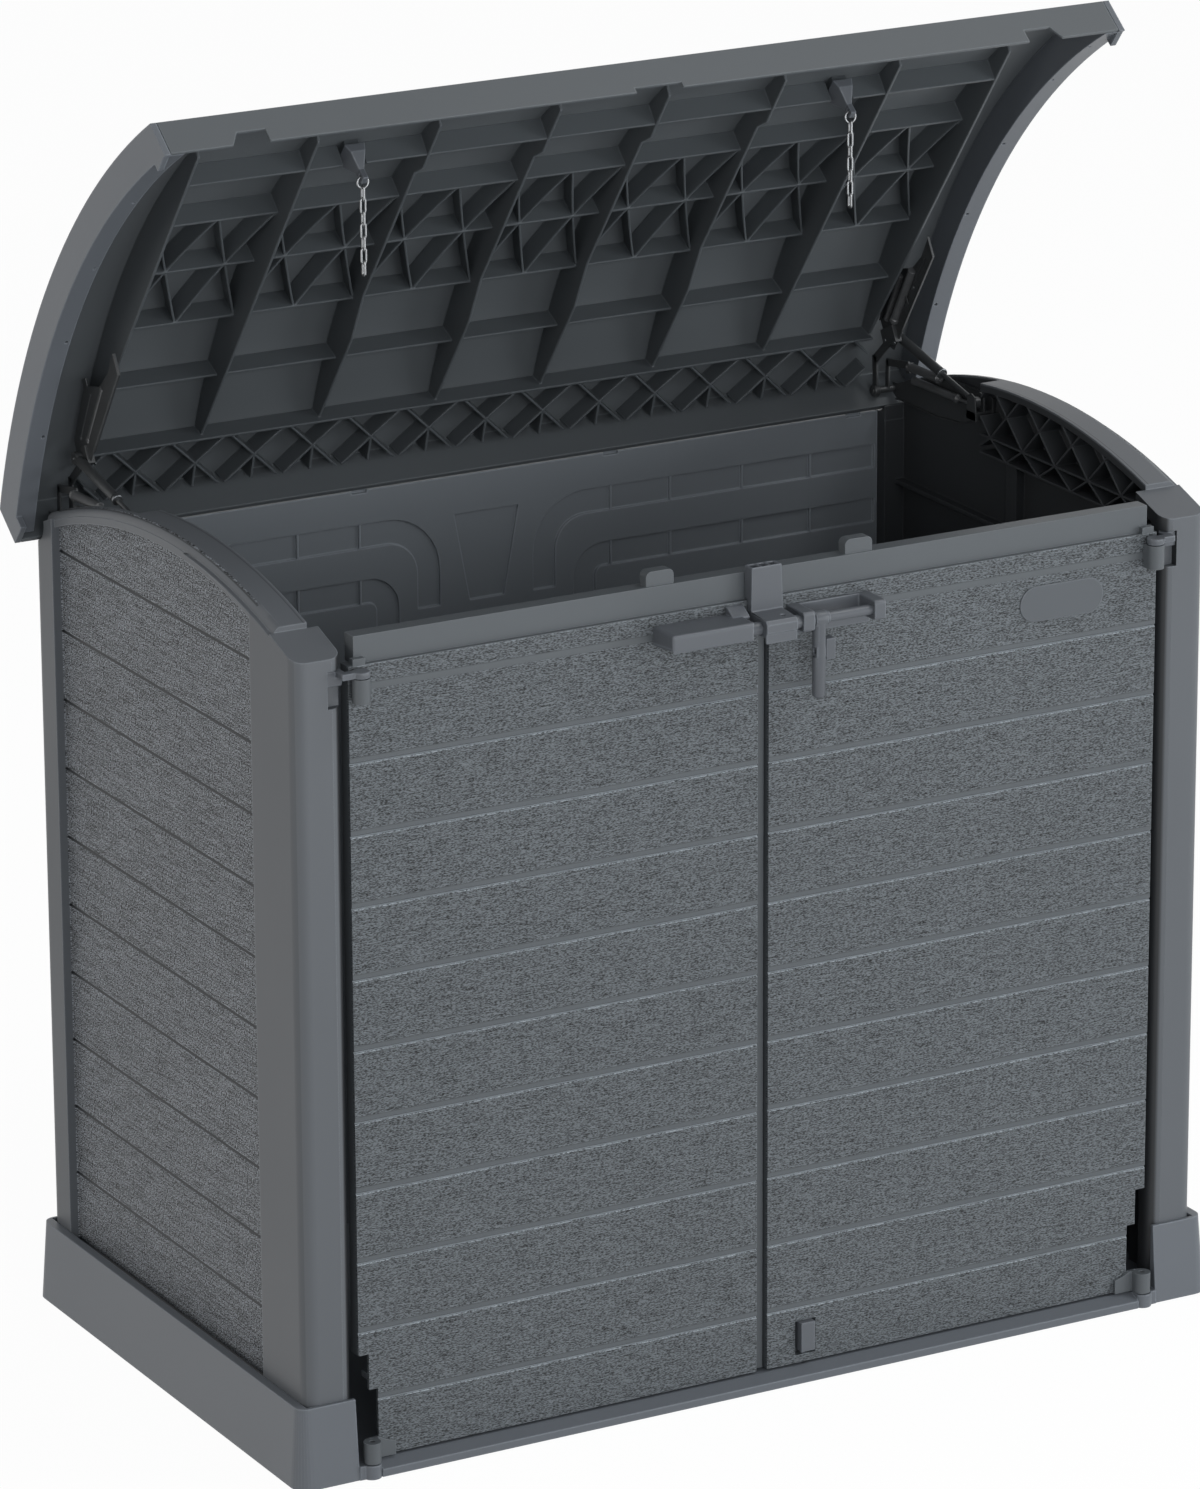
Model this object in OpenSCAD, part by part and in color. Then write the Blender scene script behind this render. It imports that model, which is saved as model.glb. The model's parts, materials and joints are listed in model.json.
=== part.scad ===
// Arc-lid garden storage shed, lid open, doors shut.
// Millimetres. +X right, +Y back, +Z up. Ground at Z = 0, origin at the middle of the base.

/* [Body] */
// Width over the corner posts
body_w = 1389; // [1150:1:1650]
// Post front face, distance in front of the middle
body_front = 388; // [330:1:460]
// Back face, distance behind the middle
body_back = 394.5; // [335:0.5:470]
// Height of the top of the door rails
rail_top = 1156; // [1000:1:1300]
// Pitch of the moulded planks
plank = 98.4; // [90:0.1:110]
// How far the highest plank line of the doors lies below the rails' top
first_line = 170.04; // [165:0.01:200]
// How far the side planks lie behind the posts
panel_in = 13.5; // [8:0.5:20]
// Wall thickness of a side panel
panel_t = 9; // [6:0.5:14]
// Depth of a side wall frame
frame_t = 54.5; // [50:0.5:62]
// Width of a front post seen from the front
post_w = 70; // [64:1:80]

/* [Base] */
// Height of the skirt
skirt_h = 112; // [90:1:140]
// Ledge between the skirt's top and the posts
ledge = 13.5; // [10:0.5:20]
// How far the skirt leans out at the ground
skirt_lean = 8; // [4:0.5:14]
// Floor height
floor_z = 18; // [14:0.5:24]
// How far the sill stands in front of the posts
sill_out = 21; // [14:0.5:28]

/* [Lid] */
// How far the lid stands out past the posts at each end
lid_over = 33; // [24:0.5:45]
// Outer radius of the lid's arc
lid_r = 1065; // [980:1:1200]
// Skin thickness of the lid
lid_t = 4; // [3:0.25:6]
// Depth of the lid's end skirts
lid_skirt = 50; // [40:1:60]
// Opening angle shown
open_deg = 51.7; // [40:0.1:60]
// How far the hinge axis lies below the door rails' top
hinge_drop = 25; // [10:1:60]
// Radius of the hinge pins
hinge_r = 5; // [4:0.25:7]
// Pitch of the lid's main ribs
fin_pitch = 181; // [160:1:200]
// Distance of the first main rib from the middle
fin_first = 83; // [70:1:95]
// Thickness of the lid's main ribs
fin_t = 3.5; // [2.5:0.25:5]
// Thickness of the lid's cross ribs
rib_t = 3; // [2:0.25:4]
// Depth of the lid's cross ribs
rib_d = 31; // [22:1:36]

/* [Doors] */
// Door thickness
door_t = 22; // [18:0.5:28]
// Skin thickness of a door
door_skin = 6; // [4:0.5:8]
// Gap between door edge and post
door_gap = 9.2; // [6:0.1:14]
// Gap between the two doors
mid_gap = 17; // [14:0.5:22]
// Clearance under the doors
door_lift = 3; // [2:0.25:5]
// Height of the smooth rail along the top of a door
rail_h = 37; // [30:1:46]
// Radius of the door hinge pins
pin_r = 4; // [3:0.25:5]
// Radius of a door hinge knuckle
knuckle_r = 12; // [10:0.5:13]

/* [Latch] */
// How far the sliding bolt lies below the door rails' top
bolt_drop = 66; // [62:1:120]
// Thick end radius of the sliding bolt
bolt_r = 9; // [7:0.25:10]
// Radius of the sliding bolt's bar
bar_r = 7; // [5:0.25:8]
// Length of the turning handle below the bolt
tee_len = 109; // [80:1:130]
// Running clearance on the radius
run = 0.06; // [0.02:0.01:0.1]

/* [Struts] */
// Radius of a strut's tube
tube_r = 7; // [6:0.25:7.5]
// Radius of a strut's rod
rod_r = 3.5; // [3:0.25:4.5]

/* [Chains] */
// Distance of a chain cup from the middle
cup_x = 374; // [300:1:420]
// Wire radius of a chain link
wire_r = 1.5; // [1:0.1:2]
// Number of links under the ring
links = 7; // [3:1:12]

/* [Hidden] */
$fn = 48;

c_body = [0.40, 0.42, 0.44];
c_plank = [0.36, 0.38, 0.40];
c_in = [0.30, 0.32, 0.33];
c_steel = [0.15, 0.16, 0.17];
c_wire = [0.55, 0.56, 0.58];

half = body_w / 2;
hinge_z = rail_top - hinge_drop;
bolt_z = rail_top - bolt_drop;
plank_top = rail_top - first_line;
yf = -body_front;
yb = body_back;
frame_in = half - frame_t;
panel_x = half - panel_in;
panel_back = panel_x - panel_t;
post_in = half - post_w;
panel_f = yf + 126.6;
panel_b = yb - 59.5;

// Lid arc, written for the shut lid
lip_f = yf - 18;
lip_b = yb + 10.5;
lid_y = (lip_f + lip_b - 7.5) / 2;
lid_corner = rail_top + 16.3;
lid_z = lid_corner - sqrt(pow(lid_r, 2) - pow(lid_y - lip_f, 2));
lid_in = lid_r - lid_t;
lid_half = half + lid_over;
end_seam = lid_half - 9;
lip_z = rail_top - 35.5;
back_lip_z = hinge_z - 21;
hinge_y = yb - 6.5;
crest_r = lid_r - 37;
fin_zone = half - 72.5;

// Doors
door_edge = post_in - door_gap;
door_y = yf + 2.4;
door_back = door_y + door_t;
door_z = floor_z + door_lift;
rail_y = yf + 10;
rail_d = 24;
rail_z = rail_top - rail_h;
left_end = -9;
right_end = left_end + mid_gap;
axis_x = door_edge - 10.8;
axis_y = door_y - 14.4;
knuckle_lo = [door_z, door_z + 29];
knuckle_hi = [rail_z - 45.5, rail_z - 12.5];

// Foot bolt and badge on the right door
foot_x = right_end + 59.5;
foot_y = door_y + 7;
foot_r = 4;
badge_x = door_edge - 151.3;
badge_z = rail_top - 110;

// Latch, on the line of the sliding bolt
bolt_y = door_y - 34.4;
blk1 = [34, 51.5];
blk2 = [143, 160];
tee_x = 64;
tee_r = 9;
hasp_x = [-26.5, 19.5];
hasp_front = rail_y - 20;
box_x = [-168, -45];

// Hinge gear, in the plane of the lid's ends
gear_pocket = [half - 56.5, half - 22.5];
pocket_y0 = hinge_y - 281;
pocket_y1 = yb - 29;
bracket_x = half - 62;
strut_x = half - 46.5;
coil_x = half - 32.5;
// Clear of the back lip's inner face, which turns round the same axis
knob_r = lip_b - 7.5 - hinge_y - 0.2;
plate_x = half - 26;
U = [hinge_y - 42, hinge_z + 91];
W = [hinge_y - 257, hinge_z + 42];
strut_len = norm(W - U);
strut_a = atan2(W[1] - U[1], W[0] - U[0]);
tube_len = 0.545 * strut_len;

function arc_p(a, r) = [lid_y + r * sin(a), lid_z + r * cos(a)];
function swing(p) = [hinge_y + cos(open_deg) * (p[0] - hinge_y) + sin(open_deg) * (p[1] - hinge_z),
    hinge_z - sin(open_deg) * (p[0] - hinge_y) + cos(open_deg) * (p[1] - hinge_z)];

// Extrudes a (Y, Z) drawing along X
module yz(x0, x1) {
    translate([x0, 0, 0]) rotate([90, 0, 90]) linear_extrude(x1 - x0) children();
}
// Extrudes an (X, Z) drawing along Y
module xz(y0, y1) {
    translate([0, y1, 0]) rotate([90, 0, 0]) linear_extrude(y1 - y0) children();
}
module box(x0, x1, y0, y1, z0, z1) {
    translate([x0, y0, z0]) cube([x1 - x0, y1 - y0, z1 - z0]);
}
module rod_x(x0, x1, y, z, r) {
    translate([x0, y, z]) rotate([0, 90, 0]) cylinder(h = x1 - x0, r = r);
}
module side(s) {
    if (s > 0) children();
    else mirror([1, 0, 0]) children();
}
module lid_pose() {
    translate([0, hinge_y, hinge_z]) rotate([-open_deg, 0, 0])
        translate([0, -hinge_y, -hinge_z]) children();
}
module bar2(p, q, t) {
    a = atan2(q[1] - p[1], q[0] - p[0]);
    translate(p) rotate(a) translate([0, -t / 2]) square([norm(q - p), t]);
}
module disc(r, $fn = 180) {
    translate([lid_y, lid_z]) circle(r);
}
module rrect(x0, x1, y0, y1, r) {
    translate([x0 + r, y0]) square([x1 - x0 - 2 * r, y1 - y0]);
    translate([x0, y0 + r]) square([x1 - x0, y1 - y0 - 2 * r]);
    for (x = [x0 + r, x1 - r], y = [y0 + r, y1 - r]) translate([x, y]) circle(r);
}

// Base tray: sloping skirt, floor, door sill and hinge seats
module skirt() {
    b = half + ledge;
    f = yf - 6;
    k = yb + 4.5;
    hull() {
        linear_extrude(0.2) rrect(-b - skirt_lean, b + skirt_lean, f - 10, k + skirt_lean, 24, $fn = 32);
        translate([0, 0, skirt_h - 0.2]) linear_extrude(0.2) rrect(-b, b, f, k, 16, $fn = 32);
    }
}
module base_tray() color(c_body) {
    foot = post_in + 1;
    sill_half = axis_x - 10.5;
    difference() {
        union() {
            skirt();
            yz(-sill_half, sill_half) polygon([[yf, 0], [yf - sill_out, 0], [yf - sill_out - 1, 11],
                [yf, floor_z]]);
            for (s = [-1, 1]) side(s) {
                box(sill_half, foot, yf - 17.4, yf + 20, 0, floor_z + 1.3);
                translate([axis_x + 1, axis_y, 0]) cylinder(h = floor_z + 1.3, r = 13);
            }
        }
        box(-half - 0.4, half + 0.4, yf - 0.4, yb + 0.4, floor_z, skirt_h + 1);
        box(-foot, foot, yf - 40, yf + 10, floor_z + 1.3, skirt_h + 1);
        box(-sill_half, sill_half, yf - 40, yf + 10, floor_z, skirt_h + 1);
        yz(-sill_half, sill_half) polygon([[yf, floor_z], [yf - sill_out - 1, 11],
            [yf - sill_out - 9, 11], [yf - sill_out - 9, floor_z + 9], [yf, floor_z + 9]]);
        for (s = [-1, 1]) side(s) translate([axis_x, axis_y, 8]) cylinder(h = 30, r = pin_r);
        translate([foot_x, foot_y, -1]) cylinder(h = floor_z + 2, r = foot_r + 0.6);
        for (i = [0:5], j = [0:3]) {
            px = (2 * half + 4) / 6;
            py = (body_front + body_back - 8) / 4;
            box(-half + i * px, -half + (i + 1) * px - 8, yf + 8 + j * py, yf + (j + 1) * py, -1, floor_z - 6);
        }
    }
}

// Side wall: planked panel, posts, top band and inner lattice
module wall_outline(r) {
    intersection() {
        translate([yf, floor_z]) square([yb - yf, rail_top + 200]);
        disc(r);
    }
}
module hinge_relief() {
    yz(0, half + 1) {
        translate([hinge_y, hinge_z]) circle(28.5);
        translate([hinge_y - 1, hinge_z - 28.5]) square([40, 120]);
    }
}
module wall_lattice() {
    lo = rail_top - 22;
    pitch = 84.5;
    yz(frame_in, panel_back + 1) intersection() {
        disc(crest_r - 4);
        translate([yf + 62, lo - 30]) square([yb - yf - 66, 200]);
        union() {
            bar2([yf + 50, lo], [yb, lo], rib_t);
            bar2([yf + 50, lo - 26], [yb, lo - 26], rib_t);
            difference() {
                for (k = [-1:8]) {
                    y = -4 + (k - 3) * pitch;
                    bar2([y, lo], [y + 120, lo + 112], rib_t);
                    bar2([y, lo], [y - 120, lo + 112], rib_t);
                }
                translate([yf, lo - 60]) square([yb - yf, 60]);
            }
            for (k = [-1:9]) {
                y = -4 + (k - 3) * pitch;
                bar2([y, lo], [y + pitch / 2, lo - 26], rib_t);
                bar2([y, lo], [y - pitch / 2, lo - 26], rib_t);
            }
        }
    }
}
module wall() {
    cap_y = yf + 69;
    difference() {
        union() {
            // posts and panel
            difference() {
                intersection() {
                    yz(frame_in, half) wall_outline(crest_r - 10);
                    translate([0, 0, floor_z]) linear_extrude(rail_top + 200) rrect(-half, half, yf, yb, 20);
                }
                // hollow behind the panel
                box(0, panel_back, yf + 30, yb - 30, 0, rail_top + 300);
                // sunk planks
                yz(panel_x, half + 1) intersection() {
                    translate([panel_f, 0]) square([panel_b - panel_f, rail_top + 200]);
                    translate([lid_y + 24, lid_z + 27]) circle(crest_r - 35, $fn = 180);
                }
            }
            // front post return and cap
            intersection() {
                yz(post_in - 0.5, half) polygon([[yf, floor_z], [yf, rail_top - 22], [cap_y, rail_top + 1.5],
                    [cap_y, floor_z]]);
                translate([0, 0, floor_z]) linear_extrude(rail_top + 200) rrect(post_in - 0.5, half, yf, yf + 160, 19);
                difference() {
                    box(0, half, yf, yf + 160, 0, rail_top + 200);
                    box(0, panel_back, yf + 30, yf + 170, 0, rail_top - 30);
                }
            }
            wall_lattice();
            // rounded top band
            intersection() {
                translate([0, lid_y, lid_z]) rotate([0, 90, 0]) rotate_extrude($fn = 180) {
                    translate([crest_r - 12, frame_in]) square([12, frame_t - 17]);
                    translate([crest_r - 22, frame_in + 20]) square([10, frame_t - 25]);
                    translate([crest_r - 12, half - 18]) circle(12);
                }
                box(0, half + 1, cap_y, yb, hinge_z - 40, rail_top + 200);
            }
            // mid rail and studs inside
            box(panel_back - 14, panel_back + 1, yf + 20, yb - 20, rail_top - 160, rail_top - 154);
            for (y = [-306, 43]) box(panel_back - 14, panel_back + 1, lid_y + y, lid_y + y + 26, floor_z, rail_top - 48);
        }
        // plank lines
        for (k = [-1:9]) translate([panel_x, yf, plank_top + (k < 0 ? 112.84 : -k * plank)])
            rotate([0, 45, 0]) translate([-1.8, 100, -1.8]) cube([3.6, body_front + body_back - 100, 3.6]);
        // room for the hinge gear
        yz(gear_pocket[0], gear_pocket[1]) intersection() {
            disc(crest_r + 1);
            translate([pocket_y0, hinge_z - 40]) square([pocket_y1 - pocket_y0, 240]);
        }
        hinge_relief();
        // notch for the upper hinge arm
        box(post_in - 1, post_in + 22, yf - 1, yf + 12, rail_top - 89, rail_top - 39);
    }
}
module wall_left() color(c_plank) side(-1) wall();
module wall_right() color(c_plank) side(1) wall();

// Back wall with its moulded channels
// A sunk band: down at leg_x, round a bend, then level at height z as far as x1
module sunk_band(s, leg_x, bend, z, x1, z_end) {
    w = 17.5;
    outer = [for (i = [0:8]) let (a = 180 - 90 * i / 8)
        [s * (leg_x + bend + (bend + w) * cos(a)), z - bend + (bend + w) * sin(a)]];
    inner = [for (i = [8:-1:0]) let (a = 180 - 90 * i / 8)
        [s * (leg_x + bend + (bend - w) * cos(a)), z - bend + (bend - w) * sin(a)]];
    polygon(concat([[s * (leg_x - w), z_end]], outer, [[s * x1, z + w], [s * x1, z - w]], inner,
        [[s * (leg_x + w), z_end]]));
}
module back_wall() color(c_plank) {
    y0 = yb - 9;
    z1 = hinge_z - 29;
    up = rail_top - 121;
    lo = rail_top - 202;
    ribs = [200, 297, 415, 528, frame_in - 4];
    difference() {
        box(-frame_in, frame_in, y0, yb, floor_z, z1);
        for (s = [-1, 1]) {
            xz(y0 - 1, y0 + 4) sunk_band(s, 92, 65, up, ribs[0] - 1.5, up - 118);
            xz(y0 - 1, y0 + 4) sunk_band(s, 157, 30, lo, ribs[0] - 1.5, 60);
            side(s) for (i = [0:3], z = [up, lo])
                box(ribs[i] + 1.5, ribs[i + 1] - 1.5, y0 - 1, y0 + 4, z - 17.5, z + 17.5);
        }
        xz(y0 - 1, y0 + 4) polygon([[-51, up + 11], [51, up + 11], [27, up - 117], [-27, up - 117]]);
        for (x = [-600, -200, 200, 600]) box(x - 12, x + 12, y0 - 1, y0 + 5, z1 - 4, z1 + 1);
        // plank lines outside
        for (k = [-1:9]) translate([-half, yb, plank_top + (k < 0 ? plank : -k * plank)]) rotate([45, 0, 0])
            translate([0, -1.6, -1.6]) cube([body_w, 3.2, 3.2]);
    }
}

// Doors. s = -1 left, 1 right; e is the inner edge
module door(s, e) {
    w = door_edge - s * e;
    difference() {
        union() {
            box(s * e, door_edge, door_y, door_back, door_z, rail_z);
            box(s * e, door_edge - 11.3, rail_y, rail_y + rail_d, rail_z - 1, rail_top);
            // two raised tabs on the rail
            xz(rail_y + 3, rail_y + 20) intersection() {
                rrect(130.5, 172, rail_top - 20, rail_top + 20, 8);
                translate([120, rail_top - 1]) square([60, 40]);
            }
            // knuckles
            for (k = [knuckle_lo, knuckle_hi]) {
                translate([axis_x, axis_y, k[0]]) cylinder(h = k[1] - k[0], r = knuckle_r);
                box(axis_x - knuckle_r, axis_x + 2, axis_y, door_y + 1, k[0], k[1]);
            }
            // lower hinge strap
            xz(door_y - 7, door_y + 1) polygon([[axis_x, knuckle_lo[0]], [axis_x - 39, knuckle_lo[0]],
                [axis_x - 39, knuckle_lo[1] - 9], [axis_x - 28, knuckle_lo[1] - 6], [axis_x - 16, knuckle_lo[1]],
                [axis_x, knuckle_lo[1]]]);
            // boss over the upper knuckle
            box(axis_x - 13, axis_x + 5, rail_y - 9, rail_y + 1, rail_z - 2, rail_z + 9);
        }
        // hollow back
        n = 4;
        difference() {
            for (i = [0:n - 1], j = [0:9])
                box(s * e + 8 + i * (w - 8) / n, s * e + (i + 1) * (w - 8) / n, door_y + door_skin, door_back + 1,
                    door_z + 8 + j * (rail_z - door_z - 8) / 10, door_z + (j + 1) * (rail_z - door_z - 8) / 10);
            if (s > 0) box(foot_x - 20, foot_x + 21, door_y, door_back - 4, door_z, door_z + 66);
        }
        // plank lines, the lower slope of each centred on its line
        for (k = [0:9]) translate([s * e - 1, door_y, plank_top + 1.1 - k * plank]) rotate([45, 0, 0])
            translate([0, -1.6, -1.6]) cube([w + 2, 3.2, 3.2]);
        // stepped lower corner
        box(door_edge - 15, door_edge + 1, door_y - 1, door_back + 1, door_z - 1, door_z + 147);
        box(door_edge - 28, door_edge + 1, door_y - 1, door_back + 1, door_z - 1, door_z + 96);
        for (k = [knuckle_lo, knuckle_hi]) translate([axis_x, axis_y, k[0] - 1])
            cylinder(h = k[1] - k[0] + 2, r = pin_r + run);
        if (s > 0) {
            // foot bolt pocket and the way down for its pin
            box(foot_x - 15.5, foot_x + 16.5, door_y - 1, door_y + 14, door_z + 11, door_z + 61);
            translate([foot_x, foot_y, door_z - 1]) cylinder(h = 13, r = foot_r + 0.4);
        }
    }
    // cover strip behind the gap, on the left door
    if (s < 0) box(s * e - 15, s * e + 1, door_back - 12, door_back - 4, door_z, rail_z);
}
module door_left() color(c_plank) side(-1) door(-1, left_end);
module door_right() color(c_plank) side(1) door(1, right_end);

// Upper hinge arms on the posts, their pins, and the lower pins in the base
module hinge_arm() {
    z0 = knuckle_hi[1] + 1;
    box(axis_x, post_in + 9, axis_y - 5, axis_y + 8, z0, z0 + 8.5);
    box(post_in - 0.5, post_in + 9, axis_y - 5, yf + 12, z0, z0 + 8.5);
    box(post_in - 0.5, post_in + 21.5, yf + 3, yf + 12, z0 - 12, z0 + 8.5);
    translate([axis_x, axis_y, z0]) cylinder(h = 8.5, r = knuckle_r);
    translate([axis_x, axis_y, knuckle_hi[0] + 1]) cylinder(h = z0 - knuckle_hi[0], r = pin_r);
}
module hinge_arm_left() color(c_body) side(-1) hinge_arm();
module hinge_arm_right() color(c_body) side(1) hinge_arm();
module lower_pins() color(c_steel) for (s = [-1, 1]) side(s)
    translate([axis_x, axis_y, 8]) cylinder(h = knuckle_lo[1] - 9, r = pin_r);

// Box handle on the left door, with a hollow underside and the bolt's socket
module box_handle() color(c_body) difference() {
    translate([box_x[0], 0, 0]) rotate([90, 0, 90]) linear_extrude(box_x[1] - box_x[0])
        rrect(bolt_y - 20, door_y + 4, bolt_z - 11.5, bolt_z + 15, 4);
    box(box_x[0] - 1, box_x[1] + 1, door_y, door_y + 9, bolt_z - 30, bolt_z + 30);
    box(box_x[0] + 7, box_x[1] - 9, bolt_y - 13, door_y - 8, bolt_z - 20, bolt_z + 9);
    rod_x(box_x[1] - 10, box_x[1] + 1, bolt_y, bolt_z, bolt_r + 0.6);
    box(box_x[1] - 26, box_x[1] - 21, door_y - 9, door_y + 1, bolt_z - 20, bolt_z + 20);
}

// Bolt bracket on the right door
module bolt_bracket() color(c_body) difference() {
    union() {
        box(blk1[0], blk2[1], door_y - 5, door_y, bolt_z - 27, bolt_z + 14.5);
        for (b = [blk1, blk2]) translate([b[0], 0, 0]) rotate([90, 0, 90]) linear_extrude(b[1] - b[0])
            difference() {
                rrect(bolt_y - 12, door_y + 6, bolt_z - 13, bolt_z + 14.5, 5);
                translate([door_y, bolt_z - 40]) square([20, 80]);
            }
    }
    rod_x(blk1[0] - 1, blk1[1] + 1, bolt_y, bolt_z, bolt_r + run);
    rod_x(blk2[0] - 1, blk2[1] + 1, bolt_y, bolt_z, bar_r + run);
}
module bolt_bar() color(c_body) {
    rod_x(box_x[1] + 1, tee_x - 9.7, bolt_y, bolt_z, bolt_r);
    rod_x(tee_x - 10, blk2[1] - 15, bolt_y, bolt_z, bar_r);
    rod_x(tee_x + 9.7, tee_x + 13, bolt_y, bolt_z, bar_r + 2);
}
module tee_handle() color(c_body) difference() {
    union() {
        rod_x(tee_x - 9.3, tee_x + 9.3, bolt_y, bolt_z, 10.5);
        translate([tee_x, bolt_y, bolt_z - tee_len]) {
            translate([0, 0, 3]) cylinder(h = tee_len - 5, r = tee_r);
            cylinder(h = 3, r1 = tee_r - 3, r2 = tee_r);
        }
        translate([tee_x - 7, bolt_y - 7, bolt_z - 52]) cube([14, 14, 14]);
    }
    rod_x(tee_x - 10, tee_x + 10, bolt_y, bolt_z, bar_r + run);
    for (s = [-1, 1]) translate([tee_x + s * 12, bolt_y, bolt_z - 45]) cube([10, 30, 14], center = true);
    rod_x(tee_x - 20, tee_x + 20, bolt_y, bolt_z - 45, 3.5);
}
module tee_clip() color(c_body) difference() {
    box(88, 102, door_y - 14, door_y, bolt_z - 67, bolt_z - 38);
    box(92, 103, door_y - 11, door_y - 3, bolt_z - 59, bolt_z - 46);
}

// Hasp standing on the bolt, its plate in front of both rails
module hasp() color(c_body) {
    z_sh = bolt_z + 15;
    difference() {
        union() {
            xz(hasp_front, rail_y - 1) polygon([[hasp_x[0], z_sh - 2], [hasp_x[1] + 3, z_sh - 2],
                [hasp_x[1], rail_top + 10], [hasp_x[0] + 1, rail_top + 10]]);
            yz(hasp_x[0], hasp_x[1] + 1) polygon([[hasp_front + 6, z_sh + 6], [hasp_front, z_sh + 1],
                [bolt_y - 16, z_sh - 2], [bolt_y - 20, z_sh - 7], [bolt_y - 20, bolt_z - 3],
                [bolt_y - 18, bolt_z - 5], [bolt_y - 18, bolt_z - 18], [bolt_y - 15, bolt_z - 18],
                [bolt_y - 13, bolt_z - 11], [bolt_y + 11, bolt_z - 11], [hasp_front + 6, z_sh - 8]]);
        }
        rod_x(hasp_x[0] - 1, hasp_x[1] + 2, bolt_y, bolt_z, bolt_r + run);
        box(hasp_x[0] - 1, hasp_x[1] + 5, door_y - 0.6, rail_y, z_sh - 10, rail_z + 1.5);
        // open webs in the plate's top
        for (i = [0:2]) box(hasp_x[0] + 4 + i * 14, hasp_x[0] + 14 + i * 14, hasp_front + 3, rail_y - 4,
            rail_top - 34, rail_top + 11);
        translate([hasp_x[1] - 12, bolt_y - 3, bolt_z + 4]) cylinder(h = 30, r = 3.2);
    }
}

// Foot bolt in the right door's pocket, shown raised
module foot_bolt() color(c_body) {
    box(foot_x - 10.5, foot_x + 10.5, door_y - 9, door_y + 13.5, door_z + 18, door_z + 60);
    translate([foot_x, foot_y, door_z - 1.5]) cylinder(h = 20, r = foot_r);
}
module badge() color(c_body) xz(door_y - 1.4, door_y)
    rrect(badge_x - 66, badge_x + 66, badge_z - 25, badge_z + 25, 24.9);

// Lid skin with front and back lips
module lid_profile() {
    difference() {
        intersection() {
            disc(lid_r);
            translate([lip_f, hinge_z - 60]) square([lip_b - lip_f, 400]);
        }
        intersection() {
            disc(lid_in);
            translate([lip_f + lid_t, hinge_z - 61]) square([lip_b - lip_f - lid_t - 7.5, 400]);
        }
        translate([lip_f - 1, hinge_z - 61]) square([400, lip_z - hinge_z + 61]);
        translate([lip_f + 300, hinge_z - 61]) square([800, back_lip_z - hinge_z + 61]);
    }
}
module lid_skin() color(c_body) lid_pose() difference() {
    yz(-end_seam + 0.4, end_seam - 0.4) lid_profile();
    // lip cut-outs over the upper hinges and the hasp
    for (s = [-1, 1]) side(s) xz(lip_f - 1, lip_f + 20) polygon([[axis_x - 29, lip_z - 1],
        [axis_x - 29, lip_z + 20], [axis_x + 12, lip_z + 20], [axis_x + 25, lip_z - 1]]);
    box(hasp_x[0] - 9, hasp_x[1] + 16, lip_f - 1, lip_f + 20, lip_z - 1, lip_z + 8);
}

// Main ribs: each is the piece of the arc beyond a straight chord
module fin_shape(inner) {
    a0 = -16.3;
    a1 = 18.5;
    mid = (a0 + a1) / 2;
    dist = (lid_in - 16) * cos((a1 - a0) / 2);
    lift = inner ? 13 : 0;
    intersection() {
        disc(lid_in);
        polygon([arc_p(a0, lid_in - 16), arc_p(a0 + 4.5, dist / cos(a0 + 4.5 - mid)),
            arc_p(a0 + 6, dist / cos(a0 + 6 - mid) + lift), arc_p(4, dist / cos(4 - mid) + lift),
            arc_p(8.5, dist / cos(8.5 - mid)), arc_p(a1, lid_in - 16), arc_p(a1 + 1, lid_in + 80),
            arc_p(0, lid_in + 160), arc_p(a0 - 1, lid_in + 80)]);
    }
}
fins = [for (i = [0:2]) fin_first + fin_pitch * i];
module main_ribs() for (s = [-1, 1]) side(s) {
    for (i = [0:2]) yz(fins[i] - fin_t / 2, fins[i] + fin_t / 2) fin_shape(i < 2);
    yz(fin_zone - fin_t, fin_zone) fin_shape(false);
}
module cross_ribs() yz(-fin_zone + fin_t / 2, fin_zone - fin_t / 2) intersection() {
    disc(lid_in);
    for (i = [0:5]) {
        a = -13.1 + 6.17 * i;
        bar2(arc_p(a, lid_in - rib_d), arc_p(a, lid_in + 20), rib_t);
    }
}
// Diagonal ribs, laid flat at arc angle m and cut to the skin
module flat_at(m) {
    translate([0, lid_y, lid_z]) rotate([-m, 0, 0]) translate([0, 0, lid_in - 60]) linear_extrude(90) children();
}
module ring_zone(d, a0, a1) {
    yz(-fin_zone + fin_t / 2, fin_zone - fin_t / 2) intersection() {
        difference() {
            disc(lid_in);
            disc(lid_in - d);
        }
        polygon([arc_p(a0, lid_in - 80), arc_p(a1, lid_in - 80), arc_p(a1, lid_in + 80), arc_p(a0, lid_in + 80)]);
    }
}
bays = [-fin_zone, -fins[2], -fins[1], -fins[0], fins[0], fins[1], fins[2], fin_zone];
module lattice() intersection() {
    ring_zone(rib_d - 2, -6.9, 5.4);
    flat_at(-0.75) for (i = [0:6]) {
        x0 = bays[i];
        x1 = bays[i + 1];
        xm = (x0 + x1) / 2;
        h = lid_in * sin(6.15);
        for (p = [[x0, xm], [xm, x1]]) {
            bar2([p[0], -h], [p[1], h], rib_t);
            bar2([p[1], -h], [p[0], h], rib_t);
        }
    }
}
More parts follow.
